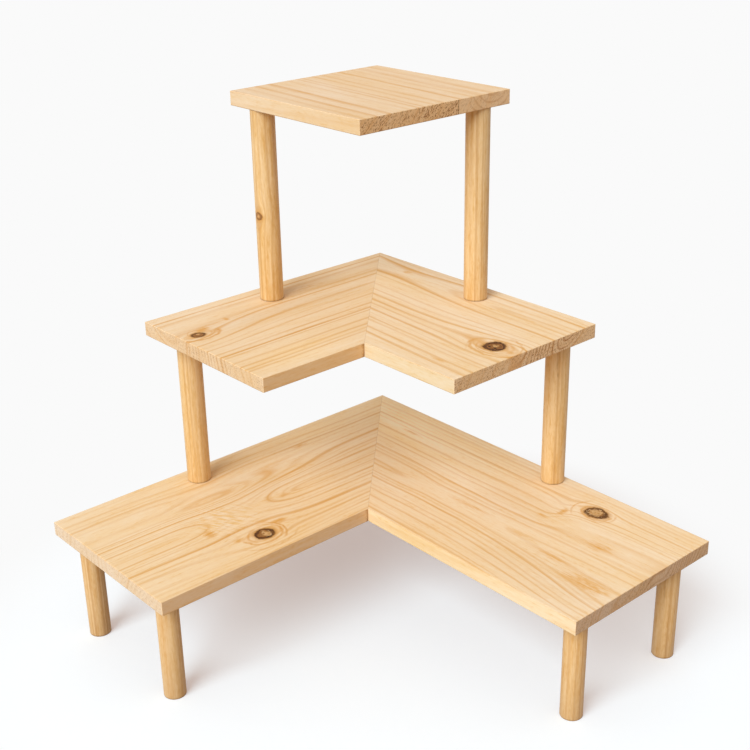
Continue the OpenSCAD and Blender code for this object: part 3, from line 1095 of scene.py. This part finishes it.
def makePieces(name, shape, places, sizes, replaced=None):
    # stands one copy of the shape on each place, and keeps the result as a plain mesh
    points = bpy.data.meshes.new(name)
    points.from_pydata(places, [], [])
    maker = addObject(name, points)
    modifier = maker.modifiers.new("shape", "NODES")
    modifier.node_group = shape
    for item in shape.interface.items_tree:
        if item.in_out == "INPUT" and item.name in sizes:
            modifier[item.identifier] = sizes[item.name]
    bpy.context.view_layer.update()
    solid = bpy.data.meshes.new_from_object(maker.evaluated_get(bpy.context.evaluated_depsgraph_get()))
    bpy.data.objects.remove(maker)
    piece = addObject(name, solid)
    if replaced:
        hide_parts(replaced)
    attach(piece, "root")


def plainName(node):
    first, *rest = node.split("_")
    return first + "".join(word.capitalize() for word in rest)


rodSizes = {
    # millimetres
    "Edge": 0.8,
    "Foot bore": 1.8,  # radius, for the base screw
    "Top bore": 3.1,  # radius, for the dowel screw
    "Top bore depth": 28.8,
}
pilotDepth = 28.7  # of the foot bore, in posts alone


def finishRods():
    for seed, (node, rod) in enumerate(rods.items(), firstRodSeed):
        low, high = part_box(node)
        isPost = node.endswith("post")
        wood = dict(postLook if isPost else legLook, **rod)
        wood["place"] = rodPlace(node, rod["turn"])
        wood["grain"] = dict(rodGrain, Seed=seed)
        wood["years"] = rodYears(seed)
        sizes = inMetres(rodSizes)
        sizes["Foot bore depth"] = pilotDepth * mm if isPost else 0.0
        sizes["Length"] = high.z - low.z
        sizes["Radius"] = (high.x - low.x) / 2
        sizes["Material"] = makePine(node, wood)
        makePieces(plainName(node), turnedBar, [rodEnd(node, 0)], sizes, node)


finishRods()
print("posts and legs finished")

# Dowels and screws

beechLook = {
    "pale": tint(226, 196, 152),
    "deep": tint(204, 168, 120),
    "fleck": tint(160, 116, 74),
    "unevenTone": (0.4, 0.5),
    "fleckSpan": (0.8, 1.3),
    "fleckStrength": 0.6,
    "roughness": 0.55,
}
zincLook = {
    "bright": (0.74, 0.74, 0.72, 1.0),
    "dull": (0.60, 0.60, 0.57, 1.0),
    "bloomSpan": (-0.8, 1.0),
    "unevenRoughness": (0.07, 0.36),
}


def makeBeech():
    # the pins lie square across the mitre, so their grain runs at 45 degrees
    placing = {"Rotation": (0, 0, -math.pi / 4), "Scale": toMillimetres}
    material, surface, place, _ = startMaterial("beechPin", placing)
    tone = scaled(noise(place, (18, 1.2, 1.2), 3.0, 2.0), *beechLook["unevenTone"])
    colour = blend(tone, beechLook["pale"], beechLook["deep"])
    fleck = fade(noise(place, (2.4, 0.5, 0.5), 6.0, 0.0), *beechLook["fleckSpan"])
    colour = blend(times(fleck, beechLook["fleckStrength"]), colour, beechLook["fleck"])
    plug(surface["Base Color"], colour)
    plug(surface["Roughness"], beechLook["roughness"])
    return material


def makeZinc():
    material, surface, place, _ = startMaterial("zincPlate", {"Scale": toMillimetres})
    bloom = noise(place, (3.0, 3.0, 3.0), 2.0, 3.0)
    share = fade(bloom, *zincLook["bloomSpan"])
    plug(surface["Base Color"], blend(share, zincLook["bright"], zincLook["dull"]))
    plug(surface["Roughness"], scaled(bloom, *zincLook["unevenRoughness"]))
    plug(surface["Metallic"], 1.0)
    return material


# Sizes in millimetres. Those in a "sizes" dictionary are inputs of the shape.

mitreDowel = {
    "sizes": {"Length": 40.0, "Radius": 4.0, "Edge": 0.8, "Flute depth": 0.3},
    "flutes": 18,
    "count": 3,
    "fromEnds": 52.0,
}
dowelScrew = {
    "sizes": {"Length": 40.7, "Core": 2.2, "Outer": 3.0, "Pitch": 2.6, "Foot point": 4.0, "Top point": 4.0},
    "inRod": 28.0,
}
baseScrew = {
    "sizes": {"Length": 27.9, "Core": 1.72, "Outer": 2.25, "Pitch": 2.2, "Foot point": 0.6, "Top point": 5.0},
}
boardWidth = 235.0
boardDepth = 17.5


def finishDowels(node, board):
    # the pins cross the mitre square, at mid-depth of the boards
    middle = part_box(board)[1].z - boardDepth / 2 * mm
    span = boardWidth * math.sqrt(2)
    step = (span - 2 * mitreDowel["fromEnds"]) / (mitreDowel["count"] - 1)
    half = mitreDowel["sizes"]["Length"] / 2
    places = []
    for pin in range(mitreDowel["count"]):
        along = mitreDowel["fromEnds"] + pin * step
        side, down = ((along + end) / math.sqrt(2) * mm for end in (-half, half))
        places.append((cornerX + side, cornerY - down, middle))
    sizes = inMetres(mitreDowel["sizes"])
    sizes["Flutes"] = mitreDowel["flutes"]
    sizes["Turn"] = (0, math.pi / 2, math.pi / 4)
    sizes["Material"] = beech
    makePieces(plainName(node), turnedBar, places, sizes, node)


def addThreads(name, places, screw, replaced=None):
    sizes = dict(inMetres(screw["sizes"]), Material=zinc)
    makePieces(name, screwThread, places, sizes, replaced)


def finishDowelScrews(node, rodNodes):
    places = []
    for rod in rodNodes:
        x, y, z = rodEnd(rod, 1)
        places.append((x, y, z - dowelScrew["inRod"] * mm))
    addThreads(plainName(node), places, dowelScrew, node)


def finishBaseScrews(node, postNodes):
    # the head and its cross recess stay as drawn, and the thread goes round the shank
    dress(node, zinc)
    addThreads(plainName(node) + "Thread", [rodEnd(post, 0) for post in postNodes], baseScrew)


beech = makeBeech()
zinc = makeZinc()
finishDowels("bottom_mitre_dowels", "bottom_right_board")
finishDowels("middle_mitre_dowels", "middle_right_board")
finishDowelScrews("leg_dowel_screws", [node for node in rods if node.endswith("leg")])
for tier in ("lower", "upper"):
    finishDowelScrews(tier + "_post_dowel_screws", [tier + "_left_post", tier + "_right_post"])
for tier in ("lower", "upper"):
    finishBaseScrews(tier + "_post_base_screws", [tier + "_left_post", tier + "_right_post"])
print("dowels and screws finished")

# Floor and light

studio = {
    "floorSize": 40.0,
    "floorBounce": (0.33, 0.29, 0.27, 1.0),
    "floorGlow": (0.33, 0.248, 0.24, 1.0),  # the camera sees the floor this bright in full shadow
    "floorColour": (0.66, 0.803, 0.851, 1.0),
    "backdrop": (0.956, 0.956, 0.956, 1.0),
    "shadowReach": (0.36, 0.56),  # the floor turns into the backdrop between these distances
    "keyDirection": (-76.0, 35.0),  # degrees: round from +X, up from the floor
    "keySpread": 42.0,
    "keyStrength": 2.67,
    "keyColour": (0.97, 1.04, 1.10),
    "worldColour": (0.56, 0.49, 0.44, 1.0),
}


def coloured(tree, kind, colour):
    return addNode(kind, {"Color": colour}, tree).outputs[0]


def mixShaders(share, first, second):
    return addNode("ShaderNodeMixShader", {0: share, 1: first, 2: second}).outputs[0]


def seenRays(tree):
    # rays that come from the camera, straight or by way of metal or glass
    path = addNode("ShaderNodeLightPath", tree=tree).outputs
    return larger(path["Is Camera Ray"], larger(path["Is Glossy Ray"], path["Is Transmission Ray"]))


def makeFloor():
    half = studio["floorSize"] / 2
    corners = [(-half, -half, 0), (half, -half, 0), (half, half, 0), (-half, half, 0)]
    mesh = bpy.data.meshes.new("studioFloor")
    mesh.from_pydata(corners, [], [(0, 1, 2, 3)])
    floor = addObject("studioFloor", mesh)
    material = bpy.data.materials.new("studioFloor")
    tree, output = startTree(material, "ShaderNodeOutputMaterial")
    bounce = coloured(tree, "ShaderNodeBsdfDiffuse", studio["floorBounce"])
    lit = coloured(tree, "ShaderNodeBsdfDiffuse", studio["floorColour"])
    glow = coloured(tree, "ShaderNodeEmission", studio["floorGlow"])
    near = addNode("ShaderNodeAddShader", {0: lit, 1: glow}).outputs[0]
    backdrop = coloured(tree, "ShaderNodeEmission", studio["backdrop"])
    where = addNode("ShaderNodeTexCoord", tree=tree).outputs["Object"]
    away = fade(vectorCalc("LENGTH", where), *studio["shadowReach"])
    plug(output, mixShaders(seenRays(tree), bounce, mixShaders(away, near, backdrop)))
    mesh.materials.append(material)


def makeLight():
    azimuth, height = (math.radians(a) for a in studio["keyDirection"])
    flat = math.cos(height)
    toKey = Vector((flat * math.cos(azimuth), flat * math.sin(azimuth), math.sin(height)))
    key = bpy.data.lights.new("keyLight", "SUN")
    key.angle = math.radians(studio["keySpread"])
    key.energy = studio["keyStrength"]
    key.color = studio["keyColour"]
    addObject("keyLight", key).matrix_world = toKey.to_track_quat("Z", "Y").to_matrix().to_4x4()

    world = bpy.data.worlds.new("studio")
    bpy.context.scene.world = world
    tree, output = startTree(world, "ShaderNodeOutputWorld")
    soft = coloured(tree, "ShaderNodeBackground", studio["worldColour"])
    backdrop = coloured(tree, "ShaderNodeBackground", studio["backdrop"])
    plug(output, mixShaders(seenRays(tree), soft, backdrop))


makeFloor()
makeLight()
bpy.context.scene.view_settings.view_transform = "Standard"
print("studio made")
